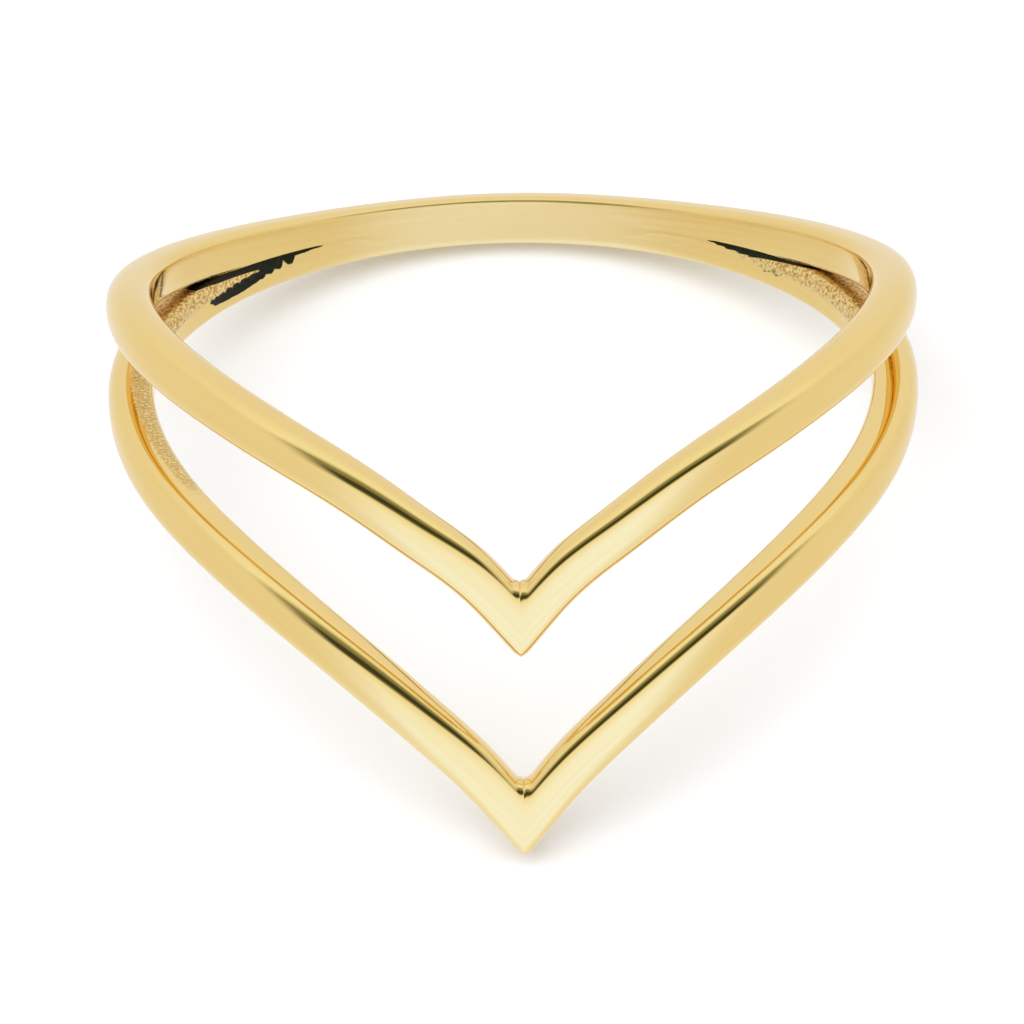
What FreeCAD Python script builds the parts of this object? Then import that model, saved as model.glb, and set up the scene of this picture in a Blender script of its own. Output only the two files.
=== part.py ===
import FreeCAD, Part
import math
import os

# A yellow-gold double chevron ring, cast in one piece, lying as it rests on a table.
# Two round wires run round the finger. Each comes to a sharp V at the front,
# and at the back they run into each other and make one plain band.
# Lengths are in mm. The ring is built round an upright finger and then laid down.

# Finger hole of a US size 7 ring
BORE_RADIUS = 8.675

# Wires: their middle line runs round the finger at this radius, this thick to each side of it
WIRE_RADIUS = 9.2
WIRE_HALF_THICKNESS = 0.58

# Course of the wires over half the ring, the other half is its mirror image.
# angle: round the finger from the points of the two Vs, in degrees
# upper, lower: height of each wire's middle line
# half_width: half of a wire's width, square to its course
COURSE_COLUMNS = ("angle", "upper", "lower", "half_width")
COURSE_ROWS = (
    (0, -5.84, -10.64, 0.56),
    (6, -4.77, -9.52, 0.58),
    (14, -3.78, -8.33, 0.59),
    (24, -2.77, -7.08, 0.59),
    (36, -1.88, -5.83, 0.59),
    (52, -1.01, -4.52, 0.59),
    (70, -0.37, -3.40, 0.59),
    (90, -0.02, -2.27, 0.57),
    (110, 0.01, -1.44, 0.54),
    (130, -0.02, -0.85, 0.50),
    (150, -0.02, -0.42, 0.48),
    (180, 0.03, -0.12, 0.52),
)
COURSE = [dict(zip(COURSE_COLUMNS, row)) for row in COURSE_ROWS]

# Each half is lofted a few rows past the back before it is cut off on the middle plane
OVERRUN_ROWS = 2

# Polishing has worn this much off the points of the Vs
POINT_WEAR = 0.09

# Big enough to hold the whole ring
SPACE = 40.0


def course_point(row, wire):
    """Point on the middle line of one wire, at one row of the course."""
    angle = math.radians(row["angle"])
    return FreeCAD.Vector(WIRE_RADIUS * math.sin(angle), -WIRE_RADIUS * math.cos(angle), row[wire])


def rows_past_the_back():
    """The course from the front to the back and a little way up the other side."""
    rows = list(COURSE)
    for row in reversed(COURSE[-1 - OVERRUN_ROWS:-1]):
        rows.append(dict(row, angle=360 - row["angle"]))
    return rows


def slopes(rows, wire):
    """Slope angle of a wire's middle line at each row."""
    middle_line = Part.BSplineCurve()
    middle_line.interpolate([course_point(row, wire) for row in rows])
    tangents = [middle_line.tangent(middle_line.parameter(course_point(row, wire)))[0] for row in rows]
    return [math.asin(abs(tangent.z)) for tangent in tangents]


def section(row, wire, slope):
    """Cross-section of a wire in the upright plane through the finger axis, an ellipse."""
    angle = math.radians(row["angle"])
    inwards = FreeCAD.Vector(-math.sin(angle), math.cos(angle), 0) * WIRE_HALF_THICKNESS
    upwards = FreeCAD.Vector(0, 0, row["half_width"] / math.cos(slope))
    along = inwards.cross(upwards)
    middle = course_point(row, wire)
    stretch = FreeCAD.Matrix(
        inwards.x, upwards.x, along.x, middle.x,
        inwards.y, upwards.y, along.y, middle.y,
        inwards.z, upwards.z, along.z, middle.z,
        0, 0, 0, 1,
    )
    return Part.Wire(Part.Circle().toShape()).transformGeometry(stretch)


def half_wire(wire):
    """One wire from its point at the front to the middle of the back."""
    rows = rows_past_the_back()
    sections = [section(row, wire, slope) for row, slope in zip(rows, slopes(rows, wire))]
    tube = Part.makeLoft(sections, True, False)
    right_side = Part.makeBox(SPACE, 2 * SPACE, 2 * SPACE, FreeCAD.Vector(0, -SPACE, -SPACE))
    return tube.common(right_side)


def point_bottom(wire):
    """Height of the worn point of a V."""
    rows = rows_past_the_back()
    half_height = COURSE[0]["half_width"] / math.cos(slopes(rows, wire)[0])
    return COURSE[0][wire] - half_height + POINT_WEAR


def whole_wire(wire):
    """One wire all the way round, its two halves mitred in a V whose point is worn blunt."""
    right = half_wire(wire)
    left = right.mirror(FreeCAD.Vector(0, 0, 0), FreeCAD.Vector(1, 0, 0))
    below = Part.makeBox(
        2 * SPACE, 2 * SPACE, SPACE, FreeCAD.Vector(-SPACE, -SPACE, point_bottom(wire) - SPACE)
    )
    return right.fuse(left).cut(below)


def casting():
    """Both wires in one solid, with the finger hole cut true."""
    finger = Part.makeCylinder(BORE_RADIUS, 2 * SPACE, FreeCAD.Vector(0, 0, -SPACE))
    return whole_wire("upper").fuse(whole_wire("lower")).cut(finger)


def row_planes():
    """Upright half-planes from the finger axis outwards, one at each row on both sides of the ring."""
    planes = []
    upwards = FreeCAD.Vector(0, 0, SPACE)
    for row in COURSE[1:-1]:
        for side in (1, -1):
            angle = side * math.radians(row["angle"])
            outwards = FreeCAD.Vector(math.sin(angle), -math.cos(angle), 0) * SPACE
            corners = [-upwards, outwards - upwards, outwards + upwards, upwards, -upwards]
            planes.append(Part.Face(Part.makePolygon(corners)))
    return planes


def parted_at_the_rows(ring):
    """The same solid with its skin parted at the rows, so each stretch of finger wall is its own face."""
    pieces = ring.generalFuse(row_planes())[0].Solids
    return pieces[0].multiFuse(pieces[1:])


def resting_tilt():
    """Angle from upright to where the ring lies on the lower point and on the underside of its back."""
    front, back = COURSE[0], COURSE[-1]
    half_height = front["half_width"] / math.cos(slopes(rows_past_the_back(), "lower")[0])
    wear_angle = math.acos(1 - POINT_WEAR / half_height)
    point_radius = WIRE_RADIUS - WIRE_HALF_THICKNESS * math.sin(wear_angle)
    tilt = 0.0
    for _ in range(20):
        back_depth = math.hypot(
            WIRE_HALF_THICKNESS * math.sin(tilt), back["half_width"] * math.cos(tilt)
        )
        rise = (back["lower"] - point_bottom("lower")) * math.cos(tilt) - back_depth
        tilt = math.asin(rise / (WIRE_RADIUS + point_radius))
    return math.degrees(tilt)


def laid_down(ring):
    """The ring turned onto the table, with the middle of its footprint at the origin."""
    ring.rotate(FreeCAD.Vector(0, 0, 0), FreeCAD.Vector(1, 0, 0), -resting_tilt())
    box = ring.optimalBoundingBox(False, False)
    ring.translate(FreeCAD.Vector(0, -box.Center.y, -box.ZMin))
    return ring


chevron_ring = laid_down(parted_at_the_rows(casting()))
os.makedirs("parts", exist_ok=True)
chevron_ring.exportStep("parts/chevron_ring.step")
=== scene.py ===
import math

import bpy
import numpy as np
from mathutils import Matrix, Vector


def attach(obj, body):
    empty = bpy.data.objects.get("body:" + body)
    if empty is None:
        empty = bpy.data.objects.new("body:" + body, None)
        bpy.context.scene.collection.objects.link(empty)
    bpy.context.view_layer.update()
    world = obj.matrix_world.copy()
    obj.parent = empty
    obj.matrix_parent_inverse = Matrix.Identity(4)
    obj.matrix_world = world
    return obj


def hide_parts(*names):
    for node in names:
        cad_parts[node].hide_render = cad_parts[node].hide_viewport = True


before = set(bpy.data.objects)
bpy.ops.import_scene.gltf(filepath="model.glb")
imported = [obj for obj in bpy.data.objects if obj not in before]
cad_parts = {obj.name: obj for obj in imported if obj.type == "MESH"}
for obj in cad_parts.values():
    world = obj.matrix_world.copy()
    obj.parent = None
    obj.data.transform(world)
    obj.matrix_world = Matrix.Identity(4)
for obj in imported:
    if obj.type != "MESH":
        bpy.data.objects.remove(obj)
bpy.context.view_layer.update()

# Yellow-gold double chevron ring lying on a pale table, in soft studio light.
# The ring is worked out round an upright finger, in millimetres, and then laid down.
MM = 0.001

# Finger hole, and the wires' middle line with their thickness to each side of it
BORE_RADIUS = 8.675
WIRE_RADIUS = 9.2
WIRE_HALF_THICKNESS = 0.58

# Course of the two wires over half the ring, the other half is its mirror image
# angle: round the finger from the points of the two Vs, in degrees
# upper, lower: height of each wire's middle line
# half_width: half of a wire's width, square to its course
# outside, finger_side: 2 where that side of a wire is round, more where filing has left it flatter
COURSE_COLUMNS = ("angle", "upper", "lower", "half_width", "outside", "finger_side")
COURSE_ROWS = (
    (0, -5.84, -10.64, 0.56, 3.3, 2.4),
    (6, -4.77, -9.52, 0.58, 3.1, 2.4),
    (14, -3.78, -8.33, 0.59, 2.9, 2.5),
    (24, -2.77, -7.08, 0.59, 2.8, 2.6),
    (36, -1.88, -5.83, 0.59, 2.8, 2.7),
    (52, -1.01, -4.52, 0.59, 2.8, 2.7),
    (70, -0.37, -3.40, 0.59, 2.6, 2.7),
    (90, -0.02, -2.27, 0.57, 2.4, 2.7),
    (110, 0.01, -1.44, 0.54, 2.2, 3.0),
    (130, -0.02, -0.85, 0.50, 2.0, 3.6),
    (150, -0.02, -0.42, 0.48, 2.0, 4.4),
    (180, 0.03, -0.12, 0.52, 2.0, 5.0),
)

# The smooth curves run this many rows past the back
OVERRUN_ROWS = 2

# Polishing has worn the points of the Vs and rounded the edges of the finger wall
POINT_WEAR = 0.09
POINT_ROUNDING = 0.22
WALL_EDGE_ROUNDING = 0.06

# Solder that fills the notches of the Vs: its height and half width
WEB_HEIGHT = 0.13
WEB_HALF_WIDTH = 0.10

# Zones of the wires that are not mirror bright: left as cast, satin, or with strokes of the polishing
# sides: -1 is the ring's left and 1 its right
# from, to, fade: angles round the finger
# low, high, edge: angles round the wire, from its outer side over its top
# most: how far the finish goes
FINISHES = ("as_cast", "satin", "stroked")
ZONE_COLUMNS = ("finish", "wires", "sides", "from", "to", "fade", "low", "high", "edge", "most")
ZONE_ROWS = (
    ("as_cast", ("lower",), (-1, 1), 100, 137, 5, 84, 166, 10, 1.0),
    ("as_cast", ("lower",), (-1,), 62, 110, 12, 92, 128, 12, 0.55),
    ("as_cast", ("upper",), (-1, 1), 106, 150, 8, 235, 300, 12, 1.0),
    ("satin", ("upper", "lower"), (-1, 1), 118, 200, 20, 135, 225, 12, 1.0),
    ("stroked", ("upper", "lower"), (-1, 1), 0, 180, 10, 62, 185, 12, 1.0),
)

# Black streaks on the lower wire beside the slits: painted shade in the slit, and painted dark reflections
# lower down on the finger side
# near, far: the streak's edges as depths below the slit, at each angle round the finger
PAINTED_SHADE_STREAKS = (
    {
        "side": -1,
        "amount": 1.0,
        "angle": (119, 124, 137, 144, 151),
        "near": (-0.03, -0.03, -0.02, -0.02, 0.0),
        "far": (0.05, 0.13, 0.20, 0.10, 0.0),
    },
    {
        "side": -1,
        "amount": 1.0,
        "angle": (120, 126, 131, 137, 143),
        "near": (0.60, 0.40, 0.30, 0.20, 0.14),
        "far": (0.62, 0.66, 0.60, 0.40, 0.18),
    },
    {
        "side": 1,
        "amount": 1.0,
        "angle": (122, 129, 137, 142, 147),
        "near": (-0.03, -0.03, -0.02, -0.02, 0.0),
        "far": (0.02, 0.09, 0.19, 0.12, 0.0),
    },
    {
        "side": 1,
        "amount": 0.4,
        "angle": (127, 130, 134, 137),
        "near": (0.40, 0.30, 0.28, 0.32),
        "far": (0.42, 0.54, 0.52, 0.36),
    },
)
# Depth over which the painted shade and reflections fade at their edges
PAINTED_SHADE_EDGE = 0.05

# How finely the skin is divided, along half the ring and round a wire, finest at the points of the Vs
STEPS_ALONG = 380
POINT_SHARE = 0.15
GROWTH = 1.35
STEPS_ROUND = 56
CREASE_ANGLE = math.radians(30)

# How finely the course is measured, in degrees, how often a search halves its range,
# and how near to each other two points are the same
MEASURING_STEP = 0.05
SLOPE_STEP = 0.01
HALVINGS = 50
WELD = 1e-6

# The ring lies on its lower point and the underside of its back
RESTING_TILT = math.radians(30.604944)
RING_MIDDLE = np.array([0.0, 2.76226, 5.323345])

# Colours of the finishes, as the share of light that comes back
GOLD = (0.90, 0.67, 0.264, 1)
GOLD_DEEP = (0.885, 0.652, 0.25, 1)
CAST_LIGHT = (0.95, 0.74, 0.33, 1)
CAST_DARK = (0.55, 0.29, 0.06, 1)
# Black of the painted shade and painted dark reflections beside the slits
PAINTED_SHADE_COLOUR = (0.020, 0.021, 0.012, 1)

# Roughness of the finishes
POLISHED_ROUGHNESS = (0.03, 0.06)
CAST_ROUGHNESS = 0.30
SATIN_ROUGHNESS = 0.30

# Strokes of the polishing run along the wires, the grain of the casting and the patches of more
# and less polish don't: scales over millimetres and over metres, detail, and depths in metres
STROKE_SCALE = (0.22, 0.22, 7.0)
STROKE_DEPTH = 0.000010
FAINTEST_STROKES = 0.12
GRAIN_SCALE = 13000.0
GRAIN_DEPTH = 0.00003
FINE_DETAIL = 3.0
PATCH_SCALE = 500.0
PATCH_DETAIL = 2.0

# Where a pattern turns from one shade to the next, and how ragged the grain makes the zones' edges
STROKE_SHADES = (0.3, 0.7)
GRAIN_SHADES = (0.35, 0.6)
PATCH_SHADES = (0.3, 0.7)
CAST_EDGE = (0.35, 0.65)
CAST_START = (0.02, 0.3)
CAST_RAGGEDNESS = 0.9
# Where the painted shade starts, and how ragged the grain makes its edge
PAINTED_SHADE_START = (0.3, 0.5)
PAINTED_SHADE_RAGGEDNESS = 0.3

# Light that the metal sees, by the angle above straight ahead of the ring's points, up and over
PANEL_ROWS = (
    (-180, 0.90, 0.90, 0.90),
    (-100, 0.94, 0.94, 0.98),
    (-60, 1.02, 1.14, 1.48),
    (-15, 1.05, 1.27, 2.00),
    (15, 1.05, 1.27, 2.00),
    (30, 1.04, 1.18, 1.60),
    (42, 1.00, 1.07, 1.20),
    (48, 0.94, 0.96, 0.90),
    (51, 0.40, 0.40, 0.24),
    (56, 0.06, 0.07, 0.05),
    (68, 0.05, 0.06, 0.05),
    (72, 0.22, 0.22, 0.13),
    (84, 0.36, 0.36, 0.22),
    (91, 0.80, 0.82, 0.75),
    (100, 1.01, 1.08, 1.15),
    (140, 0.94, 0.95, 0.99),
    (180, 0.90, 0.90, 0.90),
)

# Light at the sides, between which shares of sideways the panels end, and how the dark gap leans
SIDES = (0.90, 0.90, 0.90)
PANEL_ENDS = (0.50, 0.88)
GAP_LEAN = 0.25
BRIGHTEST = 2.2

# Soft light on the table: a broad bright part of a white room
KEY_DIRECTION = (-0.35, -0.25, 0.9)
KEY_SPREAD = (0.70, 0.98)
KEY_LIGHT = 2.2
ROOM_LIGHT = 1.05

# Table, in metres
FLOOR_COLOUR = (0.93, 0.93, 0.93, 1)
FLOOR_ROUGHNESS = 0.9
FLOOR_HALF_SIDE = 0.6

# Camera: the photo's angles to the ring, and what stands in the middle of the picture
PICTURE_SIDE_PX = 1024
CAMERA_RISE = math.radians(12.60)
CAMERA_YAW = math.radians(0.38)
CAMERA_ROLL = math.radians(1.11)
CAMERA_DISTANCE = 330.0
NEAREST_SEEN = 10.0
PIXELS_PER_MM = 41.47
AIM_RIGHT_PX = 0.5
AIM_DOWN_PX = 216.0
SENSOR_MM = 36.0


def soft_max(a, b, reach):
    """The larger of two numbers, with the change from one to the other rounded within reach."""
    overlap = np.maximum(reach - np.abs(a - b), 0)
    return np.maximum(a, b) + overlap ** 2 / (4 * reach)


def signed_power(value, power):
    """A power of a number's size, with the number's sign."""
    return np.sign(value) * np.abs(value) ** power


def smooth_curve(xs, ys):
    """Natural cubic spline through the given points."""
    xs = np.asarray(xs, float)
    ys = np.asarray(ys, float)
    gaps = np.diff(xs)
    last = len(gaps)
    system = np.eye(last + 1)
    rates = np.zeros(last + 1)
    for i in range(1, last):
        system[i, i - 1:i + 2] = gaps[i - 1], 2 * (gaps[i - 1] + gaps[i]), gaps[i]
        rates[i] = 6 * ((ys[i + 1] - ys[i]) / gaps[i] - (ys[i] - ys[i - 1]) / gaps[i - 1])
    bends = np.linalg.solve(system, rates)

    def height(x):
        i = np.clip(np.searchsorted(xs, x) - 1, 0, last - 1)
        t = x - xs[i]
        rate = (ys[i + 1] - ys[i]) / gaps[i] - gaps[i] * (2 * bends[i] + bends[i + 1]) / 6
        return ys[i] + t * (rate + t * (bends[i] / 2 + t * (bends[i + 1] - bends[i]) / (6 * gaps[i])))

    return height


def course_curves():
    """Smooth curves of the course's columns against the angle round the finger."""
    rows = [dict(zip(COURSE_COLUMNS, row)) for row in COURSE_ROWS]
    rows += [dict(row, angle=360 - row["angle"]) for row in reversed(rows[-1 - OVERRUN_ROWS:-1])]
    angles = [row["angle"] for row in rows]
    return {column: smooth_curve(angles, [row[column] for row in rows]) for column in COURSE_COLUMNS[1:]}


CURVES = course_curves()


def half_height(wire, angle):
    """Half of a wire's height in the upright plane through the finger axis."""
    before = np.maximum(angle - SLOPE_STEP, 0)
    after = angle + SLOPE_STEP
    rise = CURVES[wire](after) - CURVES[wire](before)
    slope = rise / (WIRE_RADIUS * np.radians(after - before))
    return CURVES["half_width"](angle) * np.sqrt(1 + slope ** 2)


def parting(angle):
    """Distance between the two wires' middle lines over the sum of their half heights: 1 where they part."""
    distance = CURVES["upper"](angle) - CURVES["lower"](angle)
    return distance / (half_height("upper", angle) + half_height("lower", angle))


def parting_angle(ahead, behind):
    """Angle round the finger where the wires part, between two angles on either side of it."""
    for _ in range(HALVINGS):
        middle = (ahead + behind) / 2
        if parting(middle) > 1:
            ahead = middle
        else:
            behind = middle
    return ahead


def angles_along():
    """Angles of the divisions along half the ring, and which of them is where the wires part."""
    fine = np.linspace(0, 180, round(180 / MEASURING_STEP) + 1)
    steps = np.hypot(np.diff(CURVES["lower"](fine)), WIRE_RADIUS * np.radians(np.diff(fine)))
    lengths = np.concatenate([[0], np.cumsum(steps)])
    share = np.linspace(0, 1, STEPS_ALONG + 1)
    places = lengths[-1] * (POINT_SHARE * share + (1 - POINT_SHARE) * share ** GROWTH)
    angles = np.interp(places, lengths, fine)
    fork = int(np.argmin(np.abs(parting(angles) - 1)))
    angles[fork] = parting_angle(angles[fork - 1], angles[fork + 1])
    return angles, fork


def rise_and_fall(value, start, end, fade):
    """1 between start and end, fading out smoothly over fade to both sides."""
    steps = [np.clip(x / fade + 1, 0, 1) for x in (value - start, end - value)]
    return np.prod([step ** 2 * (3 - 2 * step) for step in steps], axis=0)


def in_zones(finish, wire, side, angles, degrees):
    """How far each point of a wire's skin is inside the zones of a finish, from 0 to 1."""
    inside = np.zeros(degrees.shape)
    for zone in (dict(zip(ZONE_COLUMNS, row)) for row in ZONE_ROWS):
        if zone["finish"] == finish and wire in zone["wires"] and side in zone["sides"]:
            along = rise_and_fall(angles, zone["from"], zone["to"], zone["fade"])[:, None]
            across = rise_and_fall(degrees, zone["low"], zone["high"], zone["edge"])
            inside = np.maximum(inside, zone["most"] * along * across)
    return inside


def in_painted_shade(side, angles, depths):
    """How far each point of the lower wire's skin is inside the black streaks of painted shade and painted
    dark reflection beside the slit.
    """
    inside = np.zeros(depths.shape)
    for streak in PAINTED_SHADE_STREAKS:
        if streak["side"] == side:
            past_near = depths - np.interp(angles, streak["angle"], streak["near"])[:, None]
            before_far = np.interp(angles, streak["angle"], streak["far"])[:, None] - depths
            here = np.clip(np.minimum(past_near, before_far) / PAINTED_SHADE_EDGE + 0.5, 0, 1)
            here[(angles < streak["angle"][0]) | (angles > streak["angle"][-1])] = 0
            inside = np.maximum(inside, streak["amount"] * here)
    return inside


def section(wire, angles, fork):
    """How far outwards and upwards each point of a wire's skin is from its middle line, from -1 to 1.
    Behind the fork each wire's skin ends where it meets the other wire's."""
    powers = [2 / CURVES[part](angles)[:, None] for part in ("outside", "finger_side")]
    parted = np.clip(parting(angles)[:, None], 0, 1)
    meetings = [np.arcsin(parted ** (1 / power)) for power in powers]
    for meeting in meetings:
        meeting[:fork + 1] = math.pi / 2
    outer_end = -meetings[0]
    inner_end = math.pi + meetings[1]
    if wire == "lower":
        outer_end = 2 * math.pi - outer_end
        inner_end = 2 * math.pi - inner_end
    turn = outer_end + np.linspace(0, 1, STEPS_ROUND + 1) * (inner_end - outer_end)
    power = np.where(np.cos(turn) > 0, *powers)
    return signed_power(np.cos(turn), power), signed_power(np.sin(turn), power)


def skin_points(wire, side, angles, outwards, upwards):
    """Points of a wire's skin, with the finger wall cut true, the notch filled and the point worn."""
    middle = CURVES[wire](angles)[:, None]
    half = half_height(wire, angles)[:, None]
    wall = BORE_RADIUS - WIRE_RADIUS
    radius = WIRE_RADIUS + soft_max(WIRE_HALF_THICKNESS * outwards, wall, WALL_EDGE_ROUNDING)
    round_finger = np.radians(angles)[:, None]
    web = WEB_HEIGHT * np.exp(-(radius * round_finger / WEB_HALF_WIDTH) ** 2) * np.clip(upwards, 0, 1)
    lowest = middle[0] - half[0] + POINT_WEAR
    height = soft_max(middle + half * upwards + web, lowest, POINT_ROUNDING)
    return np.stack([side * radius * np.sin(round_finger), -radius * np.cos(round_finger), height], -1)


def skin_looks(wire, side, angles, outwards, upwards, points):
    """Finishes and painted shade of a wire's skin, and where each point lies in the flow of the polishing."""
    height = points[..., 2]
    degrees = np.degrees(np.arctan2(upwards, outwards)) % 360
    finishes = [in_zones(finish, wire, side, angles, degrees) for finish in FINISHES]
    slit = CURVES["lower"](angles) + half_height("lower", angles) * np.minimum(parting(angles), 1)
    # Painted shade and painted dark reflections, on the lower wire's finger side only
    painted_shade_here = in_painted_shade(side, angles, slit[:, None] - height) * (wire == "lower") * (outwards < 0)
    flow = [points[..., 0], points[..., 1], height - CURVES[wire](angles)[:, None]]
    return np.stack([*finishes, painted_shade_here, *flow], -1)


def half_skin(wire, side, angles, fork):
    """Skin of one wire over half the ring: the points, and beside each point its looks."""
    outwards, upwards = section(wire, angles, fork)
    points = skin_points(wire, side, angles, outwards, upwards)
    looks = skin_looks(wire, side, angles, outwards, upwards, points)
    skin = np.concatenate([points, looks], axis=-1)
    return skin.reshape(-1, skin.shape[-1])


def laid_down(points):
    """Points turned from the upright ring to where it lies, in millimetres."""
    c = math.cos(RESTING_TILT)
    s = math.sin(RESTING_TILT)
    x, y, z = np.moveaxis(points, -1, 0)
    return np.stack([x, y * c + z * s, z * c - y * s], -1)


def ring_skin():
    """The whole ring: vertices in metres, four-sided faces, and each vertex's looks."""
    angles, fork = angles_along()
    row = STEPS_ROUND + 1
    k, j = np.meshgrid(np.arange(STEPS_ALONG), np.arange(STEPS_ROUND), indexing="ij")
    patch = (k * row + j).reshape(-1, 1) + (0, row, row + 1, 1)
    parts = []
    faces = []
    for wire, handed in (("upper", 1), ("lower", -1)):
        for side in (1, -1):
            faces.append(len(parts) * (STEPS_ALONG + 1) * row + patch[:, ::side * handed])
            parts.append(half_skin(wire, side, angles, fork))
    skin = np.concatenate(parts)
    grid = np.round(skin[:, :3] / WELD)
    _, kept, places = np.unique(grid, axis=0, return_index=True, return_inverse=True)
    vertices = (laid_down(skin[kept, :3]) + RING_MIDDLE) * MM
    return vertices, places.reshape(-1)[np.concatenate(faces)], skin[kept, 3:]


def build_ring():
    """The whole casting as one mesh, with its creases kept sharp."""
    vertices, faces, looks = ring_skin()
    mesh = bpy.data.meshes.new("chevron_ring_skin")
    mesh.from_pydata(vertices.tolist(), [], faces.tolist())
    # The finishes and the mask of painted shade go onto the mesh as attributes
    for name, values in zip((*FINISHES, "painted_shade"), looks.T):
        attribute = mesh.attributes.new(name, "FLOAT", "POINT")
        attribute.data.foreach_set("value", np.ascontiguousarray(values))
    flow = mesh.attributes.new("flow", "FLOAT_VECTOR", "POINT")
    flow.data.foreach_set("vector", looks[:, -3:].reshape(-1))
    mesh.shade_smooth()
    mesh.set_sharp_from_angle(angle=CREASE_ANGLE)
    ring = bpy.data.objects.new("chevron_ring_skin", mesh)
    bpy.context.scene.collection.objects.link(ring)
    return ring


class Nodes:
    """Short ways to add and join shader nodes."""

    def __init__(self, tree):
        self.tree = tree

    def fill(self, node, inputs):
        """Set a node's inputs, and link those that come from another node."""
        for name, value in dict(inputs).items():
            if isinstance(value, bpy.types.NodeSocket):
                self.tree.links.new(value, node.inputs[name])
            else:
                node.inputs[name].default_value = value
        return node

    def add(self, kind, inputs=(), **settings):
        node = self.tree.nodes.new(kind)
        for name, value in settings.items():
            setattr(node, name, value)
        return self.fill(node, inputs)

    def math(self, operation, *values):
        return self.add("ShaderNodeMath", enumerate(values), operation=operation).outputs[0]

    def ease(self, value, low, high, to_low=0.0, to_high=1.0, kind="SMOOTHSTEP"):
        """Step from to_low, where value is low, to to_high, where it is high."""
        inputs = {"Value": value, "From Min": low, "From Max": high, "To Min": to_low, "To Max": to_high}
        return self.add("ShaderNodeMapRange", inputs, interpolation_type=kind).outputs[0]

    def mix_colour(self, factor, first, second):
        return self.add("ShaderNodeMix", {0: factor, 6: first, 7: second}, data_type="RGBA").outputs[2]

    def mix_number(self, factor, first, second):
        return self.add("ShaderNodeMix", {0: factor, 2: first, 3: second}, data_type="FLOAT").outputs[0]

    def noise(self, vector, scale, detail):
        return self.add("ShaderNodeTexNoise", {"Vector": vector, "Scale": scale, "Detail": detail}).outputs[0]

    def attribute(self, name, output="Fac"):
        return self.add("ShaderNodeAttribute", attribute_name=name).outputs[output]

    def ragged(self, value, grain, depth):
        """A value raised and lowered by the grain."""
        return self.math("ADD", value, self.math("MULTIPLY", self.math("SUBTRACT", grain, 0.5), depth))

    def bump(self, height, depth, **inputs):
        bump = {"Height": height, "Distance": depth, "Strength": 1.0}
        return self.add("ShaderNodeBump", dict(bump, **inputs)).outputs[0]


def gold_material():
    """Polished yellow gold, left grainy and more orange where no polishing tool could reach, and painted
    black beside the slits as shade and dark reflections.
    """
    material = bpy.data.materials.new("gold")
    material.use_nodes = True
    n = Nodes(material.node_tree)

    # Patterns
    place = n.add("ShaderNodeTexCoord").outputs["Object"]
    flow = n.attribute("flow", "Vector")
    strokes = n.add("ShaderNodeMapping", {"Vector": flow, "Scale": STROKE_SCALE}).outputs[0]
    stroke = n.noise(strokes, 1.0, FINE_DETAIL)
    grain = n.noise(place, GRAIN_SCALE, FINE_DETAIL)
    patches = n.noise(place, PATCH_SCALE, PATCH_DETAIL)

    # Zones
    rough = n.attribute("as_cast")
    edge = n.ease(n.ragged(rough, grain, CAST_RAGGEDNESS), *CAST_EDGE)
    cast = n.math("MULTIPLY", edge, n.ease(rough, *CAST_START))
    # Painted shade and painted dark reflections beside the slits, with ragged edges
    painted_shade = n.ease(n.ragged(n.attribute("painted_shade"), grain, PAINTED_SHADE_RAGGEDNESS), *PAINTED_SHADE_START)

    # Colour
    polished_colour = n.mix_colour(n.ease(stroke, *STROKE_SHADES), GOLD_DEEP, GOLD)
    cast_colour = n.mix_colour(n.ease(grain, *GRAIN_SHADES), CAST_DARK, CAST_LIGHT)
    # Where the painted shade lies, the colour turns black
    colour = n.mix_colour(painted_shade, n.mix_colour(cast, polished_colour, cast_colour), PAINTED_SHADE_COLOUR)

    # Roughness
    polished = n.ease(patches, *PATCH_SHADES, *POLISHED_ROUGHNESS)
    satin = n.math("MULTIPLY", n.attribute("satin"), SATIN_ROUGHNESS)
    roughness = n.math("MAXIMUM", n.mix_number(cast, polished, CAST_ROUGHNESS), satin)

    # Relief
    stroked = n.math("MAXIMUM", n.attribute("stroked"), FAINTEST_STROKES)
    waves = n.bump(n.math("MULTIPLY", stroke, stroked), STROKE_DEPTH)
    relief = n.bump(n.math("MULTIPLY", grain, cast), GRAIN_DEPTH, Normal=waves)

    shader = n.tree.nodes["Principled BSDF"]
    n.fill(shader, {"Metallic": 1.0, "Base Color": colour, "Roughness": roughness, "Normal": relief})
    return material


def pale_floor():
    """A plain pale table. It isn't seen in the metal, which reflects the room alone."""
    material = bpy.data.materials.new("pale_floor")
    material.use_nodes = True
    shader = material.node_tree.nodes["Principled BSDF"]
    shader.inputs["Base Color"].default_value = FLOOR_COLOUR
    shader.inputs["Roughness"].default_value = FLOOR_ROUGHNESS
    mesh = bpy.data.meshes.new("floor")
    corners = [(x * FLOOR_HALF_SIDE, y * FLOOR_HALF_SIDE, 0) for x, y in ((-1, -1), (1, -1), (1, 1), (-1, 1))]
    mesh.from_pydata(corners, [], [(0, 1, 2, 3)])
    floor = bpy.data.objects.new("floor", mesh)
    floor.data.materials.append(material)
    bpy.context.scene.collection.objects.link(floor)
    floor.visible_glossy = False


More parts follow.
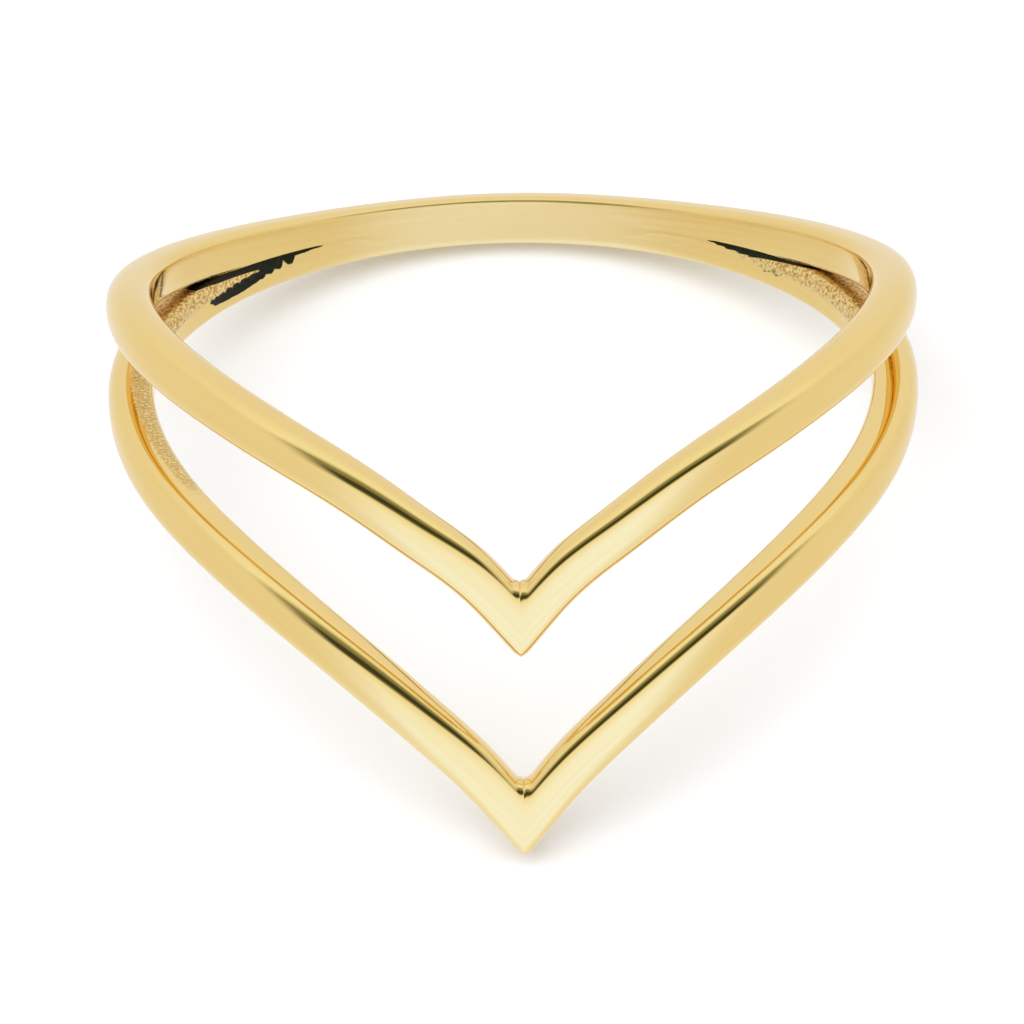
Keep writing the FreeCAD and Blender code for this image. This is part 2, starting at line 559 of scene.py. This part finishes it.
def camera_axes():
    """Directions of the camera's right, up and back beside the upright ring, and of the view to the ring."""
    e, w, t = CAMERA_RISE, CAMERA_YAW, CAMERA_ROLL
    ahead = np.array([math.sin(w) * math.cos(e), math.cos(w) * math.cos(e), -math.sin(e)])
    level = np.array([math.cos(w), -math.sin(w), 0.0])
    upright = np.cross(level, ahead)
    right = level * math.cos(t) - upright * math.sin(t)
    up = level * math.sin(t) + upright * math.cos(t)
    focal_px = PIXELS_PER_MM * CAMERA_DISTANCE
    aim = ahead + right * (AIM_RIGHT_PX / focal_px) - up * (AIM_DOWN_PX / focal_px)
    aim /= np.linalg.norm(aim)
    right = np.cross(aim, up)
    right /= np.linalg.norm(right)
    return np.stack([right, np.cross(right, aim), -aim]), ahead


def place_camera():
    """The camera keeps the photo's angles to the ring, whatever the ring lies on."""
    axes, ahead = camera_axes()
    data = bpy.data.cameras.new("camera")
    data.sensor_width = SENSOR_MM
    data.lens = PIXELS_PER_MM * CAMERA_DISTANCE / PICTURE_SIDE_PX * SENSOR_MM
    data.clip_start = NEAREST_SEEN * MM
    camera = bpy.data.objects.new("camera", data)
    camera.matrix_world = Matrix(laid_down(axes).T.tolist()).to_4x4()
    camera.location = Vector((laid_down(-ahead * CAMERA_DISTANCE) + RING_MIDDLE) * MM)
    bpy.context.scene.collection.objects.link(camera)
    bpy.context.scene.camera = camera


def share_of_brightest(colour):
    """A light's colour over the strength that the whole world is given."""
    return [value / BRIGHTEST for value in colour] + [1]


def panel_light(n, way):
    """The room as the metal sees it: panels that run across and end at the sides."""
    x, y, z = n.add("ShaderNodeSeparateXYZ", {0: way}).outputs
    lean = n.math("MULTIPLY", n.math("ARCSINE", x), GAP_LEAN)
    above = n.math("SUBTRACT", n.math("ARCTAN2", z, n.math("MULTIPLY", y, -1.0)), lean)
    ramp = n.add("ShaderNodeValToRGB", {0: n.ease(above, -math.pi, math.pi, kind="LINEAR")})
    stops = ramp.color_ramp.elements
    for angle, *_ in PANEL_ROWS[1:-1]:
        stops.new((angle + 180) / 360)
    for stop, (_, *colour) in zip(stops, PANEL_ROWS):
        stop.color = share_of_brightest(colour)
    at_the_sides = n.ease(n.math("ABSOLUTE", x), *PANEL_ENDS)
    return n.mix_colour(at_the_sides, ramp.outputs[0], share_of_brightest(SIDES))


def room_light(n, way):
    """The room as the table sees it: white, and brightest towards the key light."""
    key = Vector(KEY_DIRECTION).normalized()
    towards_key = n.add("ShaderNodeVectorMath", {0: way, 1: key}, operation="DOT_PRODUCT").outputs["Value"]
    return n.ease(towards_key, *KEY_SPREAD, ROOM_LIGHT / BRIGHTEST, KEY_LIGHT / BRIGHTEST)


def light_the_room():
    """A white room. Polished metal sees it as it is: a bright panel in front, a dark gap above that,
    and a softer panel overhead."""
    world = bpy.data.worlds.new("studio")
    world.use_nodes = True
    bpy.context.scene.world = world
    n = Nodes(world.node_tree)
    way = n.add("ShaderNodeTexCoord").outputs["Generated"]
    on_the_table = n.add("ShaderNodeLightPath").outputs["Is Diffuse Ray"]
    light = n.mix_colour(on_the_table, panel_light(n, way), room_light(n, way))
    n.fill(n.tree.nodes["Background"], {"Color": light, "Strength": BRIGHTEST})


ring = build_ring()
ring.data.materials.append(gold_material())
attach(ring, "root")
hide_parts("chevron_ring")
pale_floor()
place_camera()
light_the_room()
bpy.context.scene.view_settings.view_transform = "Standard"
